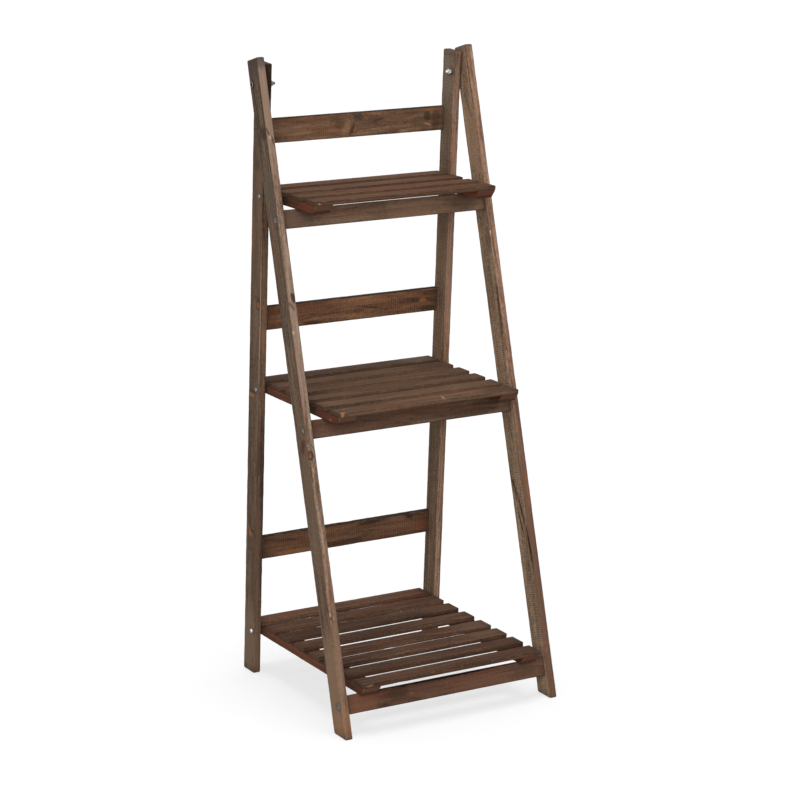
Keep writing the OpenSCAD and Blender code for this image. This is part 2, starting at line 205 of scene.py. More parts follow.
def wobble(*place):
    return noise.noise(Vector(place))


def eased_section(half_w, half_t, radii, wide_steps, narrow_steps):
    """Points round a rectangle whose four corners have a radius each, with its flats divided."""
    corners = [(1, 1), (-1, 1), (-1, -1), (1, -1)]
    points = []
    for i, (sy, sz) in enumerate(corners):
        r, r_next = radii[i], radii[(i + 1) % 4]
        for k in range(ARC_STEPS + 1):
            turn = math.pi / 2 * (i + k / ARC_STEPS)
            points.append((sy * (half_w - r) + r * math.cos(turn),
                           sz * (half_t - r) + r * math.sin(turn)))
        ny, nz = corners[(i + 1) % 4]
        wide = sz == nz
        steps = wide_steps if wide else narrow_steps
        y, z = points[-1]
        y_next = ny * (half_w - (r_next if wide else 0))
        z_next = nz * (half_t - (0 if wide else r_next))
        points += [(y + (y_next - y) * k / steps, z + (z_next - z) * k / steps) for k in range(1, steps)]
    return points


def board(name, length, width, thick, place, end_ease, seed, slopes=(0, 0), radius=BOARD_RADIUS,
          holes=()):
    """A board with softened and nicked edges, its length along local X and its width along Y.
    slopes tilt its two ends, and each hole is a cutting mesh."""
    half_l, half_w, half_t = length / 2, width / 2, thick / 2
    wide_steps, narrow_steps = max(2, round(width / 0.007)), max(2, round(thick / 0.006))
    around = 4 * (ARC_STEPS + 1) + 2 * (wide_steps - 1) + 2 * (narrow_steps - 1)
    nicks = []
    for i in range(int(length / NICK_EVERY)):
        x = half_l * (2 * abs(math.modf(math.sin(12.9 * i + 78.2 * seed) * 43758.5)[0]) - 1)
        strength = abs(math.modf(math.sin(39.3 * i + 11.1 * seed) * 24634.6)[0])
        nicks.append((x, (7 * i + seed) % 4, 0.004 + 0.008 * strength, 0.0012 * strength ** 2))

    ease_rings = [(end_ease * (1 - math.cos(math.radians(t))),
                   end_ease * (1 - math.sin(math.radians(t)))) for t in (0, 30, 60, 90)]
    inner = 2 * (half_l - end_ease)
    count = max(4, round(inner / RING_STEP))
    stations = list(ease_rings)
    stations += [(end_ease + inner * k / count, 0) for k in range(1, count)]
    stations += [(length - d, inset) for d, inset in reversed(ease_rings)]
    points = []
    for d, inset in stations:
        x = d - half_l
        share = d / length
        slope = slopes[0] * (1 - share) + slopes[1] * share
        radii = []
        for corner in range(4):
            r = radius * (1 + 0.55 * wobble(55 * x, 3.1 * corner + seed, 0.5)
                          + 0.35 * wobble(190 * x, 1.7 * corner, seed + 9.5))
            for at, on, long, deep in nicks:
                away = abs(x - at) / long
                if on == corner and away < 1:
                    ragged = 1 + 0.5 * wobble(400 * x, corner, seed)
                    r += deep * (1 - away * away) * ragged
            radii.append(min(max(r, 0.0003), 0.45 * min(width, thick)))
        section = eased_section(half_w - inset, half_t - inset, radii, wide_steps, narrow_steps)
        for y, z in section:
            dip = FACE_DIP * (1 + wobble(14 * x, 60 * y + seed, 60 * z))
            y -= math.copysign(dip, y) if abs(y) > half_w - 0.001 else 0
            z -= math.copysign(dip, z) if abs(z) > half_t - 0.001 else 0
            points.append((x + y * slope, y, z))
    faces = []
    for ring in range(len(stations) - 1):
        for k in range(around):
            a, b = ring * around + k, ring * around + (k + 1) % around
            faces.append((a, b, b + around, a + around))
    for ring, outward in ((0, -1), (len(stations) - 1, 1)):
        edge = [ring * around + k for k in range(around)]
        for shrink in (0.72, 0.4):
            start = len(points)
            for k in range(around):
                x, y, z = points[ring * around + k]
                y, z = shrink * y, shrink * z
                x_end = outward * half_l + y * slopes[0 if outward < 0 else 1]
                x_end -= outward * 0.0002 * (1 + wobble(300 * y, 300 * z, seed))
                points.append((x_end, y, z))
            for k in range(around):
                quad = (edge[k], edge[(k + 1) % around], start + (k + 1) % around, start + k)
                faces.append(quad if outward > 0 else quad[::-1])
            edge = [start + k for k in range(around)]
        points.append((outward * half_l, 0, 0))
        for k in range(around):
            corner = (edge[k], edge[(k + 1) % around], len(points) - 1)
            faces.append(corner if outward > 0 else corner[::-1])
    mesh = bpy.data.meshes.new(name)
    mesh.from_pydata(points, [], faces)
    piece = bpy.data.objects.new(name, mesh)
    piece.matrix_world = place
    scene.collection.objects.link(piece)
    if holes:
        cut_by(piece, joined_mesh(name + "_holes", holes))
    smooth_faces(piece.data)
    return piece


def cut_by(piece, tool_mesh, how="DIFFERENCE"):
    """Cuts a closed mesh out of a piece, or with INTERSECT keeps only what lies in it."""
    tool = bpy.data.objects.new(tool_mesh.name, tool_mesh)
    scene.collection.objects.link(tool)
    cut = piece.modifiers.new("cut", "BOOLEAN")
    cut.operation, cut.solver, cut.object = how, "EXACT", tool
    bpy.context.view_layer.update()
    shaped = bpy.data.meshes.new_from_object(
        piece.evaluated_get(bpy.context.evaluated_depsgraph_get()))
    shaped.name = piece.data.name
    piece.modifiers.clear()
    piece.data = shaped
    bpy.data.objects.remove(tool)


def smooth_faces(mesh):
    mesh.polygons.foreach_set("use_smooth", [True] * len(mesh.polygons))
    mesh.set_sharp_from_angle(angle=SHARP_OVER)


def turned_mesh(name, outline, centre=(0, 0, 0), axis=(0, 0, 1), sides=32, bored=False):
    """A solid turned round an axis: outline is (distance along it, radius), and with a bore it
    goes up the outside and back down the bore."""
    along = Vector(axis).normalized()
    turn = along.to_track_quat("Z", "Y").to_matrix().to_4x4()
    points, faces = [], []
    for far, radius in outline:
        for k in range(sides):
            angle = 2 * math.pi * k / sides
            points.append((radius * math.cos(angle), radius * math.sin(angle), far))
    for ring in range(len(outline) - (0 if bored else 1)):
        upper = (ring + 1) % len(outline) * sides
        for k in range(sides):
            right = (k + 1) % sides
            faces.append((ring * sides + k, ring * sides + right, upper + right, upper + k))
    if not bored:
        faces.append([k for k in range(sides)][::-1])
        faces.append([(len(outline) - 1) * sides + k for k in range(sides)])
    mesh = bpy.data.meshes.new(name)
    mesh.from_pydata(points, [], faces)
    mesh.transform(Matrix.Translation(Vector(centre)) @ turn)
    return mesh


def joined_mesh(name, meshes):
    """One mesh of several, which are then removed."""
    whole = bmesh.new()
    for part in meshes:
        whole.from_mesh(part)
        bpy.data.meshes.remove(part)
    mesh = bpy.data.meshes.new(name)
    whole.to_mesh(mesh)
    whole.free()
    return mesh


def srgb(r, g, b):
    """A colour written in the 0 to 255 of a screen, as the light that it stands for."""
    def linear(c):
        c /= 255
        return c / 12.92 if c <= 0.04045 else ((c + 0.055) / 1.055) ** 2.4
    return (linear(r), linear(g), linear(b), 1)


def stained_wood(name, size, tones, end_tone, contrast, marks, seed, knots=(), slopes=(0, 0),
                 heart=(0.02, -0.05), saw=(0.1, 0.1)):
    """Sawn softwood under a worn dark stain, in a board's own coordinates. tones has, for the wide
    faces and for the narrow ones, the dark, middle and light stain and the tinge of its streaks.
    heart is where the log's centre lies in Y and Z, and saw how deep the saw's marks are on the
    wide and narrow faces. contrast is how strongly the tones differ.
    A knot is (x, across, radius, core tone, face axis), in millimetres. marks pairs each face,
    such as "+z", with its patches of other stain or of painted shade: (x, across, half length,
    half width, tone, strength), in millimetres, and the degrees it is turned by, if it is."""
    length, width, thick = size
    material, add = new_material(name)

    def calc(operation, *values):
        return add("Math", *values, operation=operation)

    def scaled(value, by, plus=None):
        """value * by, or value * by + plus."""
        return calc("MULTIPLY", value, by) if plus is None else calc("MULTIPLY_ADD", value, by, plus)

    def ramp(value, low, high, out_low=0.0, out_high=1.0):
        return add("MapRange", value, low, high, out_low, out_high, interpolation_type="SMOOTHSTEP")

    def blend(share, first, second):
        not_used = [None] * 5
        return add("Mix", share, *not_used, first, second, data_type="RGBA").outputs[2]

    def grain(along, across, detail, rough=0.55, shift=0.0):
        moved = add("VectorMath", place, (along, across, across),
                    (seed * 3.37 + shift, seed * 1.71 - shift, seed * 2.43), operation="MULTIPLY_ADD")
        return add("TexNoise", Vector=moved, Scale=1, Detail=detail, Roughness=rough)

    def away(at, across, half_length, half_width, turn, axis):
        """How far a point lies from the middle of a patch, whose rim is at 1."""
        through = 1000 / MM
        centre, turns, scale = (
            ((at, across, 0), (0, 0, turn), (half_length, half_width, through)) if axis == "z" else
            ((at, 0, across), (0, -turn, 0), (half_length, through, half_width)))
        moved = add("Mapping", Vector=place, Location=MM * Vector(centre), Rotation=turns,
                    Scale=MM * Vector(scale), vector_type="TEXTURE")
        return add("VectorMath", moved, operation="LENGTH").outputs["Value"]

    def on_face(side):
        half = thick / 2 if side[1] == "z" else width / 2
        outwards = scaled(z if side[1] == "z" else y, 1 if side[0] == "+" else -1)
        return ramp(outwards, half - 0.0013, half - 0.0006)

    place = add("TexCoord").outputs["Object"]
    x, y, z = add("SeparateXYZ", place).outputs
    is_narrow = ramp(calc("ABSOLUTE", y), width / 2 - 0.0014, width / 2 - 0.0006)
    ragged = calc("SUBTRACT", grain(120, 330, 4, 0.7, 7.7), 0.5)

    # Growth rings round a heart that lies outside the board, run out along it, bent round the knots
    bend_y = scaled(grain(3, 22, 2, shift=3.1), 0.02, -heart[0] - 0.01)
    bend_z = scaled(grain(3, 22, 2, shift=8.3), 0.02, -heart[1] - 0.01)
    out_y, out_z = calc("ADD", y, bend_y), calc("ADD", z, bend_z)
    from_heart = calc("SQRT", scaled(out_y, out_y, scaled(out_z, out_z)))
    phase = scaled(x, RUN_OUT / RING_PITCH, calc("DIVIDE", from_heart, RING_PITCH))
    ringed_knots = []
    for at, across, radius, tone, axis in knots:
        far = scaled(ragged, 0.8, away(at, across, radius * 1.5, radius, 0, axis))
        spread = scaled(far, 0.45)
        swell = calc("EXPONENT", scaled(scaled(spread, spread), -1.0))
        phase = scaled(swell, 4.0, phase)
        ringed_knots.append((far, tone, axis))
    ring = calc("FRACT", phase)
    late = scaled(ramp(ring, 0.3, 0.88), ramp(ring, 0.9, 1.0, 1, 0))

    # Stain: blotches, long streaks and fibres share out the tones on each kind of face
    blotch, streak = grain(6, 40, 4, 0.62), grain(8, 135, 4, 0.62, 1.7)
    fibre, pores = grain(30, 760, 3, 0.6, 5.2), grain(130, 2200, 2, 0.5, 2.4)
    mottle = grain(190, 300, 4, 0.7, 13.1)
    depth = 0.56
    for part, share in ((fibre, 0.45), (streak, 0.85), (blotch, 1.05), (mottle, 0.9)):
        share *= contrast
        depth = scaled(part, share, calc("SUBTRACT", depth, share / 2))
    depth = scaled(late, -0.2 * contrast, depth)
    tinged = ramp(grain(5, 60, 3, 0.6, 3.3), 0.48, 0.62, 0, 0.75)
    shades = []
    for dark, middle, light, tinge in tones:
        tint = add("ValToRGB", depth)
        stops = tint.color_ramp.elements
        stops[0].position, stops[0].color = 0.2, srgb(*dark)
        stops[1].position, stops[1].color = 0.8, srgb(*light)
        stops.new(0.5).color = srgb(*middle)
        shades.append(blend(scaled(tinged, 0.5), tint, srgb(*tinge)))
    colour = blend(is_narrow, *shades)
    flecks = ramp(grain(70, 420, 3, 0.6, 11.3), 0.56, 0.68, 0, 0.35 * contrast * contrast)
    colour = blend(flecks, colour, srgb(46, 33, 25))

    # Saw marks run across the grain in shallow arcs, stronger in some stretches than in others
    bow = scaled(scaled(y, y), 2.2, scaled(y, 0.07, x))
    bow = scaled(grain(38, 60, 2, 0.5, 4.4), 0.003, bow)
    teeth = scaled(calc("SINE", scaled(bow, 2 * math.pi / SAW_PITCH)), 0.5, 0.5)
    stretch = ramp(grain(12, 50, 3, 0.6, 9.1), 0.32, 0.56, 0.35, 1)
    stretch = scaled(stretch, ramp(grain(240, 70, 2, 0.5, 15.7), 0.3, 0.62, 0.15, 1))
    amount = scaled(is_narrow, saw[1] - saw[0], saw[0])
    sawn = scaled(scaled(teeth, stretch), amount)
    colour = blend(scaled(sawn, 0.42), colour, srgb(36, 26, 19))
    ridges = scaled(scaled(calc("SUBTRACT", 1.0, teeth), stretch), amount)
    colour = blend(scaled(ridges, 0.2), colour, srgb(176, 136, 100))
    colour = blend(ramp(pores, 0.6, 0.72, 0, 0.35), colour, srgb(40, 29, 22))

    # A dark line runs along every edge, and edges are pale where they were knocked
    from_middle = calc("ADD", calc("ABSOLUTE", y), calc("ABSOLUTE", z))
    to_edge = calc("SUBTRACT", (width + thick) / 2, from_middle)
    near_edge = ramp(scaled(ragged, 0.003, to_edge), 0.0004, 0.0017, 1, 0)
    knocks = ramp(grain(60, 90, 3, 0.6, 6.6), 0.52, 0.66)
    colour = blend(scaled(near_edge, 0.6), colour, srgb(36, 30, 29))
    colour = blend(scaled(scaled(near_edge, knocks), 0.4), colour, srgb(146, 112, 86))

    # Marks that the stain left where it pooled, ran out or was rubbed away, and marks of painted shade
    for side, patches in marks:
        for at, across, half_length, half_width, tone, strength, *turn in patches:
            far = away(at, across, half_length, half_width, math.radians(sum(turn)), side[1])
            far = scaled(ragged, 1.8, far)
            share = scaled(ramp(far, 0.5, 1.15, strength, 0), on_face(side))
            colour = blend(share, colour, srgb(*tone))
    for far, tone, axis in ringed_knots:
        facing = is_narrow if axis == "y" else calc("SUBTRACT", 1.0, is_narrow)
        rings = scaled(calc("SINE", scaled(far, 17.0)), 0.25, 0.75)
        core = scaled(ramp(far, 0.75, 1.0, 0.9, 0), rings)
        rim = scaled(ramp(far, 0.7, 0.95), ramp(far, 1.05, 1.5, 0.8, 0))
        colour = blend(scaled(core, facing), colour, srgb(*tone))
        colour = blend(scaled(rim, facing), colour, srgb(38, 26, 20))

    # End grain soaks up the stain
    tilt = scaled(y, (slopes[0] + slopes[1]) / 2)
    to_end = calc("SUBTRACT", length / 2, calc("ABSOLUTE", calc("SUBTRACT", x, tilt)))
    colour = blend(ramp(to_end, 0.001, 0.02, 0.3, 0), colour, srgb(48, 37, 30))
    colour = blend(ramp(to_end, 0.0006, 0.0016, 0.7, 0), colour, srgb(*end_tone))

    height = scaled(streak, 0.5, scaled(late, 0.3))
    height = scaled(fibre, 0.7, height)
    height = scaled(pores, 0.25, height)
    height = scaled(sawn, -1.3, height)
    bump = add("Bump", Strength=0.7, Distance=0.0006, Height=height)
    surface = add("BsdfPrincipled", Specular_IOR_Level=0.1, Base_Color=colour,
                  Roughness=scaled(streak, 0.3, 0.66), Normal=bump)
    add("OutputMaterial", Surface=surface)
    return material


def finish_piece(piece, materials, node, body):
    for material in materials:
        piece.data.materials.append(material)
    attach(piece, body)
    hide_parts(node)


def joint_place(name):
    return Vector(next(joint for joint in frame["joints"] if joint["name"] == name)["pos_m"])


fold_axis = joint_place("fold")
foot_front = cad_low.y
hinge_run = fold_axis.y - foot_front
FRONT_LEAN = math.atan2(hinge_run, fold_axis.z) - math.asin(
    (LEG_DEPTH - HINGE_INSET) / math.hypot(hinge_run, fold_axis.z))
SIDES = (("left", -1), ("right", 1))
SHELVES = ("top", "middle", "bottom")
RAIL_SCREW_HEAD_R, RAIL_SCREW_R = 0.00375, 0.002
RAIL_SCREW_SUNK = 0.0005
BOLT_R = 0.0025

front_rail_mid = {k: sum(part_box(f"front_rail_{k}"), Vector()) / 2 for k in SHELVES}


def leaning(angle):
    """Upwards in the side view, but turned back by an angle."""
    return Vector((0, math.sin(angle), math.cos(angle)))


def local_frame(along, across, centre):
    """The place of a board: its length along one direction, its width along the other."""
    through = along.cross(across)
    return Matrix.Translation(centre) @ Matrix((along, across, through)).transposed().to_4x4()


def leg_hole(node, side, at, outline):
    """A cutting mesh from the outer face of a leg inwards. Its outline is (depth, radius)."""
    outer_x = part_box(node)[side > 0].x
    return turned_mesh("hole", outline, (outer_x, at.y, at.z), (-side, 0, 0))


def fit_leg(node, body, lean, foot_y, holes, grime_and_shade, marks, **looks):
    """One leg, from its level foot to its top. It leans back, or forward if the lean is negative.
    Round each fastener lies dirt and painted shade: (face, place, half length, half width, tone)."""
    low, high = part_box(node)
    up, into = leaning(lean), Vector((0, math.cos(lean), -math.sin(lean)))
    length_to_top = (high.z + LEG_END_EASE * math.sin(abs(lean))) / math.cos(lean)
    foot_rise = LEG_DEPTH / 2 * math.tan(abs(lean))
    centre = (Vector(((low.x + high.x) / 2, foot_y, 0)) + up * (length_to_top + foot_rise) / 2
              + into * math.copysign(LEG_DEPTH / 2, lean))
    size = (length_to_top - foot_rise, LEG_DEPTH, high.x - low.x)
    slopes = (math.tan(lean), 0)
    stand_in = local_frame(up, into, centre)
    leg = board(node + "_wood", *size, stand_in, slopes=slopes, end_ease=LEG_END_EASE,
                seed=looks["seed"], holes=holes)
    marks = list(marks.items())
    for face, at, half_length, half_width, tone in grime_and_shade:
        local = stand_in.inverted() @ at
        patch = (local.x / MM, local.y / MM, half_length, half_width, tone, GRIME_AND_SHADE_STRENGTH)
        marks.append((face, [patch]))
    wood = stained_wood(node + "_stain", size, slopes=slopes, contrast=1.2, marks=marks, **looks)
    finish_piece(leg, [wood], node, body)


FRONT_LEG_TONES = {
    "left": (((64, 53, 43), (96, 80, 66), (124, 106, 88), (116, 80, 60)),
             ((98, 77, 62), (137, 113, 95), (168, 143, 122), (146, 110, 88))),
    "right": (((99, 81, 65), (143, 120, 98), (167, 142, 119), (150, 110, 86)),
              ((98, 73, 57), (141, 108, 88), (168, 136, 112), (142, 96, 74))),
}
FRONT_LEG_KNOTS = {
    "left": ((-95.4, 3, 3.8, (108, 60, 46), "y"),),
}
FRONT_LEG_MARKS = {
    "left": {"-y": (
        (100, 0, 130, 20, (157, 133, 117), 0.45), (-356, 4, 10, 4, (74, 52, 40), 0.8),
        (-355.6, 5.2, 5.5, 2.4, (204, 174, 150), 0.95), (-364.5, 3, 8, 1.8, (56, 39, 30), 0.85, 20),
        (-340, 1, 10, 1.8, (152, 112, 80), 0.5, -30), (-430, 0, 130, 20, (111, 81, 61), 0.65),
        (-540, 0, 34, 20, (140, 98, 70), 0.6), (480, 0, 140, 20, (156, 130, 110), 0.65),
        (425.9, 1.2, 4.5, 2.6, (182, 158, 134), 0.85), (419, -3, 12, 2.2, (64, 48, 38), 0.75, 8),
        (434, 4, 9, 2.2, (66, 50, 40), 0.75, 20), (406, 4.8, 9, 1.2, (160, 134, 110), 0.6),
        (162.5, -2.6, 9, 5, (56, 39, 31), 0.9), (163.9, -2, 3, 1.6, (104, 52, 42), 0.8),
        (150, 3, 12, 3, (84, 64, 50), 0.7, 35), (106, 5, 4, 1.6, (188, 158, 132), 0.8),
        (-126, 5.5, 26, 1, (52, 38, 32), 0.8), (556, 0, 22, 19, (84, 79, 77), 0.7),
    ), "+z": (
        (-195, 0, 115, 26, (113, 94, 76), 0.5), (-350, -15, 12, 1.8, (60, 43, 33), 0.75, 10),
        (-540, 0, 30, 26, (146, 106, 76), 0.6), (433, -6, 15, 11, (58, 43, 34), 0.75, 14),
        (450, 4, 22, 4, (66, 50, 40), 0.6, 10), (418, 8, 18, 4.5, (70, 54, 43), 0.55, -6),
        (-80, -2, 18, 8, (70, 44, 34), 0.75, -30), (-90, -12, 8, 6, (124, 68, 50), 0.7),
        (333.4, -2.2, 50, 14, (72, 66, 60), 0.5), (545, 0, 26, 24, (68, 64, 61), 0.6),
        (-470, 0, 100, 26, (140, 111, 89), 0.7), (-20, 10, 300, 2.8, (70, 56, 45), 0.5),
    )},
    "right": {"-y": (
        (106.8, 5.8, 45, 1, (62, 44, 33), 0.7), (235.8, 5, 4, 1.4, (196, 170, 148), 0.9),
        (-122.2, -0.6, 3, 1.4, (188, 150, 124), 0.8), (-290, 0, 280, 20, (98, 72, 57), 0.85),
        (-520, 0, 50, 20, (98, 71, 56), 0.85), (-206.4, -2.9, 40, 3.5, (140, 90, 68), 0.5),
    ), "+z": (
        (452.6, -3, 36, 2.2, (46, 33, 25), 0.9, 16.7), (462, 6, 26, 8, (118, 103, 78), 0.5, 10),
        (395, 0, 75, 22, (160, 130, 105), 0.45), (115, -16.5, 55, 2.2, (62, 44, 33), 0.75),
        (223.1, -10, 30, 8, (80, 64, 50), 0.5), (191, 11.3, 40, 8, (120, 106, 86), 0.5),
        (-174, 16.3, 26, 1.7, (54, 39, 29), 0.85, 7), (-214, 12.5, 18, 1.4, (152, 130, 102), 0.5, 19),
        (-200, 7.8, 22, 2.4, (54, 39, 29), 0.95, 19), (-241, -4.8, 28, 2.6, (54, 39, 29), 0.95, 12.6),
        (-305, -15.8, 46, 3.2, (50, 35, 27), 0.95, 5), (-259, 3.1, 28, 2.2, (56, 41, 31), 0.9, 13.5),
        (-256, 15.4, 50, 5, (128, 110, 80), 0.6),
    )},
}
# Dirt and painted shade round the screws and bolts in the legs' faces
SCREW_STAIN_AND_SHADE, BOLT_GRIME_AND_SHADE = (82, 77, 72), (66, 58, 51)
HOLE_START, HOLE_END, HOLE_PLAY = -0.002, 0.02, 0.0001
head, shank = RAIL_SCREW_HEAD_R + HOLE_PLAY, RAIL_SCREW_R + HOLE_PLAY
screw_seat = [(HOLE_START, head + 0.0003), (RAIL_SCREW_SUNK, head),
              (RAIL_SCREW_SUNK + (head - shank), shank), (HOLE_END, shank)]
bolt_bore = [(d, BOLT_R + 2 * HOLE_PLAY) for d in (HOLE_START, HOLE_END)]
for name, side in SIDES:
    node = f"front_leg_{name}"
    outer = "+z" if side < 0 else "-z"
    fit_leg(node, "front_frame", FRONT_LEAN, foot_front,
            holes=[leg_hole(node, side, front_rail_mid[k], screw_seat) for k in SHELVES]
            + [leg_hole(node, side, fold_axis, bolt_bore)],
            grime_and_shade=[(outer, front_rail_mid[k], 9, 11, SCREW_STAIN_AND_SHADE) for k in SHELVES]
            + [(outer, fold_axis, 10, 12, BOLT_GRIME_AND_SHADE)],
            tones=FRONT_LEG_TONES[name], end_tone=(76, 70, 64), heart=(0.035, 0.03 * side),
            saw=(0.7 + 0.35 * side, 0.12), knots=FRONT_LEG_KNOTS.get(name, ()),
            marks=FRONT_LEG_MARKS[name], seed=3 + side)

# ---- Front rails ----
# Three thin boards between the front legs, one under each shelf. They stand parallel with the
# legs' slant a little behind the front edges, held by a screw through each leg.
FRONT_RAIL = (0.031, 0.010)
RAIL_END_EASE, RAIL_END = 0.0004, (56, 46, 38)
FRONT_RAIL_TONES = {
    "top": (((83, 64, 50), (126, 101, 81), (152, 125, 102), (136, 90, 70)),) * 2,
    "middle": (((60, 45, 35), (92, 71, 56), (118, 93, 75), (106, 65, 51)),) * 2,
    "bottom": (((60, 40, 30), (91, 64, 50), (116, 87, 68), (108, 62, 45)),) * 2,
}
FRONT_RAIL_MARKS = {
    "top": {"+z": (
        (150, 0, 35, 16, (94, 72, 56), 0.6), (-165, 0, 40, 30, (92, 72, 60), 0.75),
        (55, 0, 65, 30, (152, 117, 93), 0.5),
    )},
    "middle": {"+z": ((-130, 2, 30, 10, (92, 72, 57), 0.4),)},
    "bottom": {"+z": (
        (-122.1, -11.7, 12, 3, (52, 38, 30), 0.6), (-95, 4, 24, 11, (58, 44, 35), 0.6),
        # The long near-black patch along the top edge is a painted shadow under the front slat
        (60, -3, 60, 15, (110, 76, 60), 0.5), (-15, 15.2, 125, 3.6, (24, 18, 15), 0.95),
        (-69.2, -1.1, 5, 2.4, (128, 86, 66), 0.7), (-64, 1.4, 7, 1.4, (66, 44, 33), 0.7, -20),
        (-166, 0, 34, 30, (116, 78, 58), 0.6), (-40, 2, 40, 12, (88, 66, 54), 0.5),
        (150, 0, 35, 15, (72, 54, 44), 0.5),
    )},
}


def fit_rail(node, body, lean, section, tones, **looks):
    """A rail parallel with its legs, in the middle of its CAD box."""
    low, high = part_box(node)
    size = (high.x - low.x, *section)
    stand_in = local_frame(Vector((1, 0, 0)), leaning(lean), (low + high) / 2)
    rail = board(node + "_wood", *size, stand_in, end_ease=RAIL_END_EASE, seed=looks["seed"])
    wood = stained_wood(node + "_stain", size, tones, RAIL_END, **looks)
    finish_piece(rail, [wood], node, body)


for number, k in enumerate(SHELVES):
    fit_rail(f"front_rail_{k}", "front_frame", FRONT_LEAN, FRONT_RAIL, FRONT_RAIL_TONES[k],
             heart=(-0.01, -0.03), saw=(0.3, 0.1), contrast=0.75, marks=FRONT_RAIL_MARKS[k].items(),
             seed=11 + number)

# ---- Rear legs ----
# The same boards again, nearly upright, inside the front legs. The shelves' pivot screws and the
# hinge bolts run through them.
REAR_LEAN = math.radians(3.6)
PIVOT_R = 0.00225
pivot = {k: joint_place(f"lift_{k}") for k in SHELVES}
REAR_LEG_TONES = {
    "left": (((58, 47, 38), (88, 73, 60), (112, 94, 78), (106, 72, 52)),
             ((54, 41, 32), (88, 68, 54), (116, 92, 74), (106, 76, 56))),
    "right": (((74, 60, 47), (110, 91, 73), (134, 114, 94), (120, 87, 68)),
              ((98, 72, 58), (138, 108, 88), (166, 136, 114), (150, 106, 82))),
}
REAR_LEG_KNOTS = {
    "left": ((127.4, -9.1, 4.5, (150, 86, 56), "z"),),
}
REAR_LEG_MARKS = {
    "left": {"+z": (
        (137, -8, 6, 17, (46, 33, 26), 0.8), (129, 0, 10, 7, (104, 80, 58), 0.6),
        (364, 2.6, 12, 11, (50, 37, 29), 0.7), (126.2, -14, 3, 6, (140, 76, 52), 0.7, 8),
        (-34, 7, 4, 12, (146, 108, 70), 0.6, 6), (-27, 4, 3, 14, (58, 43, 34), 0.7),
        (-282.1, 4, 5, 7, (146, 96, 62), 0.7), (-276, 2, 4, 14, (56, 42, 33), 0.7),
        (-276, 6, 12, 4, (146, 94, 60), 0.7, 40), (239, 13.8, 30, 5.5, (126, 76, 52), 0.6),
        (240, 0, 240, 30, (126, 101, 80), 0.3), (-480, 0, 80, 26, (118, 97, 78), 0.7),
        (-134, 11.5, 55, 7, (62, 50, 40), 0.5, 10), (515, 0, 22, 19, (68, 62, 57), 0.6),
    ), "-y": (
        (125, 2, 4, 5, (138, 84, 60), 0.7), (115, 6.6, 135, 1.2, (172, 146, 122), 0.8),
        (100, 4.4, 150, 1.4, (54, 41, 33), 0.6), (-145, -5, 24, 2.2, (38, 30, 26), 0.85),
        (-185, -4.6, 20, 2.4, (40, 31, 27), 0.8), (-180, 3, 16, 1.6, (146, 122, 100), 0.6),
        # The near-black patch at 480 along is painted shade, where the front leg shades this leg's top
        (480, 0, 85, 20, (44, 30, 25), 0.85), (-35.2, 1.1, 4, 4, (122, 76, 50), 0.6),
        (-240, 0, 190, 20, (58, 43, 35), 0.55), (130, -1, 120, 9, (128, 102, 82), 0.35),
        (68, 0, 25, 4, (142, 94, 62), 0.6), (-250, -4, 200, 2.2, (66, 49, 39), 0.5),
        (-320, 3, 180, 6, (112, 87, 70), 0.5), (-500, 0, 60, 10, (119, 92, 74), 0.8),
    )},
    "right": {"+z": (
        (500, 0, 60, 24, (124, 110, 94), 0.65), (406, 2, 70, 22, (112, 97, 80), 0.5),
        (-100, 6, 180, 14, (96, 75, 60), 0.45), (220, 0, 80, 24, (126, 103, 82), 0.35),
    ), "-y": (
        (470, 0, 60, 6, (146, 118, 100), 0.5), (160, 0, 140, 9, (154, 122, 101), 0.5),
    )},
}
pivot_bore, bolt_bore = ([(d, radius) for d in (HOLE_START, HOLE_END)]
                         for radius in (PIVOT_R + HOLE_PLAY, BOLT_R + HOLE_PLAY))
for name, side in SIDES:
    node = f"rear_leg_{name}"
    outer, inner = ("+z", "-z") if side < 0 else ("-z", "+z")
    fit_leg(node, "rear_frame", -REAR_LEAN, cad_high.y,
            holes=[leg_hole(node, side, pivot[k], pivot_bore) for k in SHELVES]
            + [leg_hole(node, side, fold_axis, bolt_bore)],
            grime_and_shade=[(outer, pivot[k], 7, 10, SCREW_STAIN_AND_SHADE) for k in SHELVES]
            + [(inner, fold_axis, 9, 10, BOLT_GRIME_AND_SHADE)],
            tones=REAR_LEG_TONES[name], end_tone=(74, 68, 62), heart=(0.03, -0.04 * side),
            saw=(0.95 + 0.35 * side, 0.15), knots=REAR_LEG_KNOTS.get(name, ()),
            marks=REAR_LEG_MARKS[name], seed=7 + side)

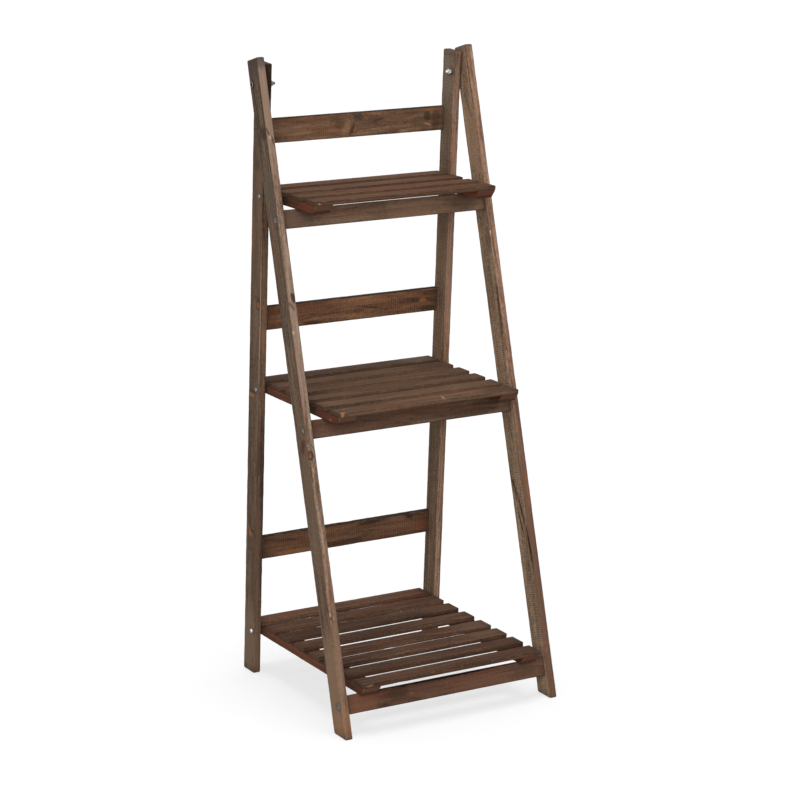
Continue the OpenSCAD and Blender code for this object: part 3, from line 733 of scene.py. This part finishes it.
# ---- Rear rails ----
# Wider boards between the rear legs, flush with their backs, glued on dowels. The saw left clear
# upright marks on their faces.
REAR_RAIL = (0.0415, 0.010)
# The second set of each, for the rails' top and bottom edges, is much darker: painted shade
REAR_RAIL_TONES = {
    "top": (((72, 52, 38), (112, 84, 65), (146, 114, 88), (128, 82, 58)),
            ((38, 29, 24), (54, 42, 34), (78, 62, 50), (60, 40, 30))),
    "middle": (((68, 47, 35), (112, 79, 59), (149, 108, 78), (140, 83, 55)),
               ((34, 26, 22), (48, 37, 31), (70, 54, 44), (56, 36, 28))),
    "bottom": (((56, 40, 31), (94, 67, 50), (124, 90, 67), (117, 68, 49)),
               ((34, 26, 22), (50, 38, 31), (70, 54, 44), (56, 36, 28))),
}
REAR_RAIL_SAW = {"top": 0.4, "middle": 0.75, "bottom": 0.75}
REAR_RAIL_MARKS = {
    "top": {"+z": (
        (6, 13, 11, 8.5, (56, 50, 48), 0.65), (-6, -8, 3.5, 13, (56, 43, 34), 0.75, -22),
        (-18, -4, 9, 15, (144, 112, 82), 0.55, -22), (-40, 13, 12, 7, (78, 64, 50), 0.5),
        (-29, 2, 12, 11, (88, 56, 41), 0.55), (-105.2, -8, 28, 3.6, (140, 109, 78), 0.65, 4),
        (148, 16.5, 24, 3, (140, 92, 58), 0.65), (141, 4, 8, 11, (54, 40, 31), 0.7),
        (157, -2, 10, 20, (76, 53, 40), 0.75), (143, -8.5, 8, 2.2, (152, 122, 102), 0.65, -14),
        (138, -6, 3, 1.6, (148, 116, 96), 0.6, 40), (94, -16.5, 10, 3, (150, 118, 86), 0.7),
        (121, -2, 13, 9, (78, 62, 48), 0.5),
    )},
    "middle": {"+z": (
        (-126, 11, 4, 3, (140, 95, 58), 0.6), (-75.5, 9, 36, 9, (120, 72, 50), 0.5),
        (-73, -16.5, 20, 4, (58, 45, 32), 0.75), (38, -1, 28, 2.2, (64, 41, 30), 0.7, -8),
        (17, -4, 13, 4, (72, 48, 34), 0.5), (145.6, 1, 8, 4, (156, 100, 58), 0.65),
        (156, -14, 19, 5.5, (62, 49, 36), 0.8), (114, -8, 15, 2.8, (126, 91, 64), 0.45),
        (160, 13, 20, 6, (58, 40, 30), 0.5),
    )},
    "bottom": {"+z": (
        (-92, -16, 50, 4.5, (134, 91, 58), 0.75), (53, 15, 32, 4.2, (46, 33, 27), 0.75, 3),
        (105.6, 14.5, 20, 5, (120, 88, 74), 0.65), (134, 13.5, 9, 4.2, (50, 39, 31), 0.75),
        (160, 0, 14, 15, (118, 66, 46), 0.5), (6.6, -15, 45, 6, (56, 41, 31), 0.55),
    )},
}
for number, k in enumerate(SHELVES):
    fit_rail(f"rear_rail_{k}", "rear_frame", -REAR_LEAN, REAR_RAIL, REAR_RAIL_TONES[k],
             heart=(0.004, -0.06), saw=(REAR_RAIL_SAW[k], 0.15), contrast=0.85,
             marks=REAR_RAIL_MARKS[k].items(), seed=17 + number)

# ---- Shelves ----
# Thin slats across two cleats, which run from back to front under the slat ends and are cut back
# at the front. Slats and cleats are darker and redder than the frames.
CLEAT_SLANT = math.radians(40)
SLAT_RADIUS = 0.0004
SLAT_COUNT = {"top": 4, "middle": 6, "bottom": 8}
SLAT_TONES = {
    "top": (((64, 43, 31), (89, 63, 46), (110, 82, 60), (98, 57, 39)),) * 2,
    "middle": (((62, 45, 33), (93, 70, 53), (116, 89, 68), (104, 65, 48)),) * 2,
    "bottom": (((56, 38, 27), (85, 60, 45), (108, 80, 60), (98, 56, 40)),) * 2,
}
SLAT_SHADES = {"top": (0.98, 1.02, 1.01, 1.02), "middle": (1.03, 1.08, 0.98, 1.05, 1.03, 0.87),
               "bottom": (0.93, 0.87, 1.0, 1.06, 0.97, 0.91, 1.08, 1.18)}
SLAT_CONTRAST = {"top": 0.65, "middle": 0.8, "bottom": 0.95}
SLAT_END = (80, 59, 46)
SLAT_KNOTS = {
    "bottom_slat_8": ((166.4, 2.3, 4, (96, 66, 50), "z"),),
    "middle_slat_1": ((61, -4, 2.6, (92, 64, 48), "z"),),
    "top_slat_2": ((-88, 6, 2.8, (84, 58, 44), "z"),),
}
SLAT_MARKS = {
    "top_slat_1": {"-y": (
        (-164, 0, 3, 1.8, (176, 138, 120), 0.8),
    ), "+z": (
        (-155, -14, 5, 2, (150, 112, 92), 0.6),
    )},
    "bottom_slat_1": {"-y": (
        (-160, 0.5, 8, 2.4, (150, 114, 92), 0.6),
    ), "+z": (
        (140, 0, 50, 24, (72, 50, 38), 0.4), (-158, -12, 9, 4, (62, 46, 38), 0.6, 30),
    )},
    "bottom_slat_2": {"+z": ((140, 0, 50, 24, (66, 46, 35), 0.4),)},
    "bottom_slat_3": {"+z": ((140, 0, 50, 24, (110, 85, 69), 0.35),)},
    "bottom_slat_4": {"+z": ((140, 0, 50, 24, (113, 84, 67), 0.45),)},
    "bottom_slat_6": {"+z": ((140, 0, 50, 24, (101, 76, 60), 0.45),)},
    "bottom_slat_7": {"+z": ((140, 0, 50, 24, (70, 48, 36), 0.35),)},
    "middle_slat_2": {"+z": ((140, 0, 40, 24, (88, 70, 58), 0.5),)},
    "middle_slat_4": {"+z": ((140, 0, 40, 24, (80, 66, 56), 0.5),)},
    "middle_slat_6": {"+z": ((140, 0, 40, 24, (118, 98, 82), 0.45),)},
    "middle_slat_5": {"+z": ((130, 0, 40, 24, (66, 48, 36), 0.65),)},
    "middle_slat_1": {"+z": (
        (-164, -13.5, 6, 4, (196, 146, 104), 0.8), (140, 0, 40, 24, (70, 50, 37), 0.7),
        (31, -3, 1.1, 9.5, (206, 184, 158), 0.9, -9),
    ), "-y": (
        (-166, 0, 4, 3, (190, 136, 96), 0.8),
    )},
}
# The second set, for the cleats' top and bottom faces, is darker: painted shade under and between the
# slats
CLEAT_TONES = (((56, 33, 24), (88, 54, 38), (110, 70, 51), (109, 53, 36)),
               ((44, 29, 22), (66, 45, 34), (84, 58, 44), (80, 44, 31)))
CLEAT_END = {"left": (118, 84, 68), "right": (116, 76, 60)}
CLEAT_MARKS = {
    "top_cleat_left": {"-z": (
        # The first, near-black patch is a painted shadow under the slats beside the leg
        (32, 0, 34, 12, (28, 20, 16), 0.75), (-70, 0, 40, 12, (104, 52, 34), 0.5),
    )},
    "top_cleat_right": {"-z": ((-85, 0, 45, 12, (138, 80, 52), 0.75),)},
    "middle_cleat_left": {"-z": (
        # The first, near-black patch is a painted shadow under the slats beside the leg
        (-50, 3, 22, 9, (28, 20, 16), 0.8), (-116, -3, 6, 2.2, (160, 88, 60), 0.7),
    )},
}
for shelf_number, k in enumerate(SHELVES):
    body = f"{k}_shelf"
    for n in range(1, SLAT_COUNT[k] + 1):
        node = f"{k}_slat_{n}"
        low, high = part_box(node)
        size = tuple(high - low)
        seed = 20 + 10 * shelf_number + n
        slat = board(node + "_wood", *size, Matrix.Translation((low + high) / 2), radius=SLAT_RADIUS,
                     end_ease=SLAT_RADIUS, seed=seed)
        tones = [[[c * SLAT_SHADES[k][n - 1] for c in tone] for tone in face] for face in SLAT_TONES[k]]
        wood = stained_wood(node + "_stain", size, tones, SLAT_END, heart=(0.03 - 0.01 * n, -0.045),
                            contrast=SLAT_CONTRAST[k], knots=SLAT_KNOTS.get(node, ()),
                            marks=SLAT_MARKS.get(node, {}).items(), seed=seed)
        finish_piece(slat, [wood], node, body)
    for name, side in SIDES:
        node = f"{k}_cleat_{name}"
        low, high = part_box(node)
        height, full = high.z - low.z, high.y - low.y
        cut_back = height / 2 * math.tan(CLEAT_SLANT)
        size = (full - cut_back, height, high.x - low.x)
        centre = (low + high) / 2 + Vector((0, cut_back / 2, 0))
        seed = 50 + 2 * shelf_number + side
        cleat = board(node + "_wood", *size, local_frame(Vector((0, 1, 0)), Vector((0, 0, 1)), centre),
                      slopes=(-math.tan(CLEAT_SLANT), 0), radius=0.0008, end_ease=0.0005, seed=seed)
        wood = stained_wood(node + "_stain", size, CLEAT_TONES, CLEAT_END[name],
                            slopes=(-math.tan(CLEAT_SLANT), 0), contrast=0.6,
                            marks=CLEAT_MARKS.get(node, {}).items(), seed=seed)
        finish_piece(cleat, [wood], node, body)

# ---- Hinge bolts ----
# A machine bolt turns in each pair of leg tops: a low round head with a hexagon socket outside, a
# spacer between the legs, and a washer and nut on its thread inside. All are zinc plated. The
# spacers are painted dark, as shade between the legs, the washers have gone dull, and the left bolt
# and nut are worn. The heads are painted dark as shade, round a bright ring that is a painted
# highlight.
BOLT_HEAD_R, BOLT_HEAD_HEIGHT = 0.006, 0.0026
# The dome's radius, then the outer and inner radii of a bright ring on the head, a painted highlight
BOLT_DOME_R, BOLT_HIGHLIGHT_OUTER_R, BOLT_HIGHLIGHT_INNER_R = 0.0075, 0.0046, 0.0036
BOLT_THREAD, BOLT_PITCH = 0.017, 0.0008
SOCKET_R, SOCKET_DEPTH = 0.0021, 0.0017
WASHER_R, WASHER_THICK = 0.006, 0.0016
HINGE_SPACER_THICK = 0.0038
RING_EASE, BOLT_PLAY = 0.0002, 0.00006
NUT_HALF, NUT_HEIGHT, NUT_FACE_R = 0.004, 0.004, 0.0038


def zinc_plating(name, tone, rough):
    """Cloudy zinc with fine scratches. The tone is its bright side, on a screen's 0 to 255."""
    material, add = new_material(name)
    place = add("TexCoord").outputs["Object"]
    clouds = add("TexNoise", Vector=place, Scale=420, Detail=3)
    scratches = add("TexNoise", Vector=place, Scale=2600, Detail=2)
    tint = add("ValToRGB", clouds)
    stops = tint.color_ramp.elements
    stops[0].position, stops[0].color = 0.3, srgb(*(0.55 * c for c in tone))
    stops[1].position, stops[1].color = 0.62, srgb(*tone)
    dull = add("MapRange", scratches, To_Min=rough[0], To_Max=rough[1])
    bump = add("Bump", Strength=0.25, Distance=0.0001, Height=scratches)
    surface = add("BsdfPrincipled", Metallic=1, Base_Color=tint, Roughness=dull, Normal=bump)
    add("OutputMaterial", Surface=surface)
    return material


def polygon_outline(count, radius):
    return [(radius * math.cos(2 * math.pi * k / count), radius * math.sin(2 * math.pi * k / count))
            for k in range(count)]


def prism_mesh(name, outline, bottom, top, taper=1.0):
    """An upright prism on an outline, whose bottom may be smaller than its top."""
    count = len(outline)
    points = [(x * size, y * size, z) for z, size in ((bottom, taper), (top, 1)) for x, y in outline]
    faces = [(k, (k + 1) % count, (k + 1) % count + count, k + count) for k in range(count)]
    faces += [list(range(count))[::-1], list(range(count, 2 * count))]
    mesh = bpy.data.meshes.new(name)
    mesh.from_pydata(points, [], faces)
    return mesh


def shaped(mesh, tool_mesh, how="DIFFERENCE"):
    blank = bpy.data.objects.new(mesh.name, mesh)
    scene.collection.objects.link(blank)
    cut_by(blank, tool_mesh, how)
    result = blank.data
    bpy.data.objects.remove(blank)
    return result


def thread_rings(start, end, radius, pitch):
    count = round((end - start) / pitch * 6)
    return [(start + (end - start) * k / count, radius) for k in range(count + 1)]


def cut_thread(mesh, start, end, radius, pitch):
    """Winds a V groove round a shank drawn along Z, from start to end."""
    for point in mesh.vertices:
        x, y, z = point.co
        if start < z < end and math.hypot(x, y) > 0.9 * radius:
            turn = (z / pitch - math.atan2(y, x) / (2 * math.pi)) % 1
            size = 1 - 0.55 * pitch * abs(2 * turn - 1) / radius
            point.co = (x * size, y * size, z)


def shade_recess(mesh, radius, low, high):
    """Gives the walls and floor of a driver's recess the second material, which paints shade into it."""
    for face in mesh.polygons:
        x, y, z = face.center
        if low - 0.0001 < z < high - 0.0001 and math.hypot(x, y) < radius:
            face.material_index = 1


def ring_mesh(name, outer, inner, thick):
    ease = RING_EASE
    return turned_mesh(name, [
        (0, outer - ease), (ease, outer), (thick - ease, outer), (thick, outer - ease),
        (thick, inner + ease), (thick - ease, inner), (ease, inner), (0, inner + ease)], bored=True)


def set_in(mesh, x, at, side):
    """A copy of a fastener drawn upwards from the origin, laid outwards from x at one side."""
    copy = mesh.copy()
    turn = Matrix.Rotation(side * math.pi / 2, 4, "Y")
    copy.transform(Matrix.Translation((side * x, at.y, at.z)) @ turn)
    return copy


def fit_fasteners(node, body, meshes, materials):
    piece = bpy.data.objects.new(node + "_steel", joined_mesh(node + "_steel", meshes))
    scene.collection.objects.link(piece)
    smooth_faces(piece.data)
    finish_piece(piece, materials, node, body)


def fit_both_sides(node, body, mesh, outer, places, materials):
    """Fits a fastener at each place on both sides. outer is how high its outer face is drawn."""
    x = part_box(node)[1].x - outer
    copies = [set_in(mesh, x, at, side) for _, side in SIDES for at in places]
    fit_fasteners(node, body, copies, materials)


bright_zinc = zinc_plating("bright_zinc", (238, 237, 232), (0.2, 0.4))
worn_zinc = zinc_plating("worn_zinc", (150, 146, 140), (0.35, 0.6))
# Dark zinc, painted shade for the spacers that sit between parts
shaded_dull_zinc = zinc_plating("shaded_dull_zinc", (92, 86, 80), (0.5, 0.75))
greyed_zinc = zinc_plating("greyed_zinc", (130, 120, 106), (0.5, 0.75))
# Painted shade, for drivers' recesses and for the bolt heads round their bright ring
painted_shade_zinc = zinc_plating("painted_shade_zinc", (62, 56, 50), (0.55, 0.8))

low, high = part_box("hinge_bolt_right")
cad_head = 0.003
shank = high.x - low.x - cad_head
thread_end = BOLT_THREAD - shank
tip = 0.0007
dome = [(h, math.sqrt(BOLT_DOME_R ** 2 - (BOLT_DOME_R - cad_head + h) ** 2))
        for h in (BOLT_HEAD_HEIGHT * k / 8 for k in range(1, 9))]
bolt = turned_mesh("hinge_bolt", [
    (-shank, BOLT_R - tip), *thread_rings(tip - shank, thread_end, BOLT_R, BOLT_PITCH), (0, BOLT_R),
    (0, BOLT_HEAD_R - 0.0003), (0.0002, BOLT_HEAD_R - 0.0001), *dome])
cut_thread(bolt, tip - shank - 0.0001, thread_end, BOLT_R, BOLT_PITCH)
bolt = shaped(bolt, prism_mesh("socket", polygon_outline(6, SOCKET_R), BOLT_HEAD_HEIGHT - SOCKET_DEPTH,
                               BOLT_HEAD_HEIGHT + 0.001, 0.97))
shade_recess(bolt, 1.02 * SOCKET_R, BOLT_HEAD_HEIGHT - SOCKET_DEPTH, BOLT_HEAD_HEIGHT)
# All the head but that ring takes the second material, painted shade; the ring is a painted highlight
for face in bolt.polygons:
    if face.center.z > 0 and not BOLT_HIGHLIGHT_INNER_R < face.center.xy.length < BOLT_HIGHLIGHT_OUTER_R:
        face.material_index = 1
for name, side in SIDES:
    fit_fasteners(f"hinge_bolt_{name}", "rear_frame", [set_in(bolt, high.x - cad_head, fold_axis, side)],
                  [worn_zinc if side < 0 else bright_zinc, painted_shade_zinc])

# The spacers' dark zinc is painted shade between the legs
spacer = ring_mesh("hinge_spacer", WASHER_R, BOLT_R + BOLT_PLAY, HINGE_SPACER_THICK)
fit_both_sides("hinge_spacers", "rear_frame", spacer, HINGE_SPACER_THICK, [fold_axis], [shaded_dull_zinc])
washer = ring_mesh("hinge_washer", WASHER_R, BOLT_R + BOLT_PLAY, WASHER_THICK)
fit_both_sides("hinge_washers", "rear_frame", washer, WASHER_THICK, [fold_axis], [greyed_zinc])
corner = NUT_HALF / math.cos(math.pi / 6)
turned_off = (corner + 0.0001 - NUT_FACE_R) / 2
nut = turned_mesh("hinge_nut", [
    (0, NUT_FACE_R), (turned_off, corner + 0.0001), (NUT_HEIGHT - turned_off, corner + 0.0001),
    (NUT_HEIGHT, NUT_FACE_R), (NUT_HEIGHT, BOLT_R + 0.0004), (NUT_HEIGHT - 0.0004, BOLT_R),
    (0.0004, BOLT_R), (0, BOLT_R + 0.0004)], bored=True, sides=48)
nut.transform(Matrix.Rotation(math.radians(2), 4, "Z"))
hexagon = prism_mesh("hexagon", polygon_outline(6, corner), -0.001, NUT_HEIGHT + 0.001)
nut = shaped(nut, hexagon, "INTERSECT")
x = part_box("hinge_nuts")[1].x - NUT_HEIGHT
nuts = [set_in(nut, x, fold_axis, side) for _, side in SIDES]
nuts[0].polygons.foreach_set("material_index", [1] * len(nuts[0].polygons))
fit_fasteners("hinge_nuts", "rear_frame", nuts, [bright_zinc, worn_zinc])

# ---- Screws, dowels and pins ----
# Cross-headed zinc plated wood screws: sunk ones hold the front rails, and round-headed ones carry
# the shelves, on a spacer between leg and cleat. Birch dowels hold the rear rails, and stained
# over steel pins the slats.
PIVOT_HEAD_R, PIVOT_HEAD_HEIGHT = 0.00375, 0.0022
PIVOT_SPACER_R, PIVOT_SPACER_THICK = 0.005, 0.0038
PIVOT_SCREW, PIVOT_THREAD = 0.0368, 0.015
RAIL_SCREW, RAIL_THREAD = 0.0395, 0.018
WOOD_PITCH = 0.0016
CROSS_ARM, CROSS_HALF = 0.0019, 0.00045
PIVOT_CROSS_DEPTH, RAIL_CROSS_DEPTH = 0.0013, 0.0015


def cross_recess(top, depth):
    a, b = CROSS_ARM, CROSS_HALF
    outline = [(a, -b), (a, b), (b, b), (b, a), (-b, a), (-b, b),
               (-a, b), (-a, -b), (-b, -b), (-b, -a), (b, -a), (b, -b)]
    return prism_mesh("cross", outline, top - depth, top + 0.0005, 0.6)


for k in SHELVES:
    body = f"{k}_shelf"
    shank = PIVOT_SCREW - PIVOT_HEAD_HEIGHT
    rings = thread_rings(PIVOT_R - shank, PIVOT_THREAD - shank, PIVOT_R, WOOD_PITCH)
    cap = [(PIVOT_HEAD_HEIGHT * math.sin(math.radians(t)) ** 1.2,
            0.0012 + (PIVOT_HEAD_R - 0.0012) * math.cos(math.radians(t))) for t in range(15, 91, 15)]
    screw = turned_mesh("pivot_screw", [
        (-shank, 0.0002), *rings, (0, PIVOT_R), (0, PIVOT_HEAD_R - 0.0002), (0.0002, PIVOT_HEAD_R), *cap])
    cut_thread(screw, PIVOT_R - shank - 0.0001, PIVOT_THREAD - shank, PIVOT_R, WOOD_PITCH)
    screw = shaped(screw, cross_recess(PIVOT_HEAD_HEIGHT, PIVOT_CROSS_DEPTH))
    shade_recess(screw, CROSS_ARM, PIVOT_HEAD_HEIGHT - PIVOT_CROSS_DEPTH, PIVOT_HEAD_HEIGHT)
    fit_both_sides(f"{k}_pivot_screws", body, screw, PIVOT_HEAD_HEIGHT, [pivot[k]],
                   [bright_zinc if k == "bottom" else worn_zinc, painted_shade_zinc])
    # Dark zinc spacers, painted shade between leg and cleat
    spacer = ring_mesh("pivot_spacer", PIVOT_SPACER_R, PIVOT_R + 0.00004, PIVOT_SPACER_THICK)
    fit_both_sides(f"{k}_pivot_spacers", body, spacer, PIVOT_SPACER_THICK, [pivot[k]], [shaded_dull_zinc])

shank = RAIL_SCREW - RAIL_SCREW_SUNK
cone = RAIL_SCREW_HEAD_R - RAIL_SCREW_R
rings = thread_rings(RAIL_SCREW_R - shank, RAIL_THREAD - shank, RAIL_SCREW_R, WOOD_PITCH)
screw = turned_mesh("rail_screw", [(-shank, 0.0002), *rings, (-cone, RAIL_SCREW_R),
                                   (-0.0001, RAIL_SCREW_HEAD_R), (0, RAIL_SCREW_HEAD_R - 0.0001)])
cut_thread(screw, RAIL_SCREW_R - shank - 0.0001, RAIL_THREAD - shank, RAIL_SCREW_R, WOOD_PITCH)
screw = shaped(screw, cross_recess(0, RAIL_CROSS_DEPTH))
shade_recess(screw, CROSS_ARM, -RAIL_CROSS_DEPTH, 0)
fit_both_sides("front_rail_screws", "front_frame", screw, RAIL_SCREW_SUNK,
               [front_rail_mid[k] for k in SHELVES], [worn_zinc, painted_shade_zinc])


def plain_birch(name):
    material, add = new_material(name)
    stretch = add("Mapping", add("TexCoord").outputs["Object"], Scale=(60, 1400, 1400))
    tint = add("ValToRGB", add("TexNoise", Vector=stretch, Scale=1))
    for stop, tone in zip(tint.color_ramp.elements, ((168, 130, 92), (218, 188, 146))):
        stop.color = srgb(*tone)
    add("OutputMaterial", Surface=add("BsdfPrincipled", Base_Color=tint, Roughness=0.7))
    return material


stained_over = zinc_plating("stained_over_steel", (74, 58, 48), (0.5, 0.75))
for node, material in (("rear_rail_dowels", plain_birch("birch")),
                       *((f"{k}_slat_pins", stained_over) for k in SHELVES)):
    frame["nodes"][node].data.materials.clear()
    frame["nodes"][node].data.materials.append(material)
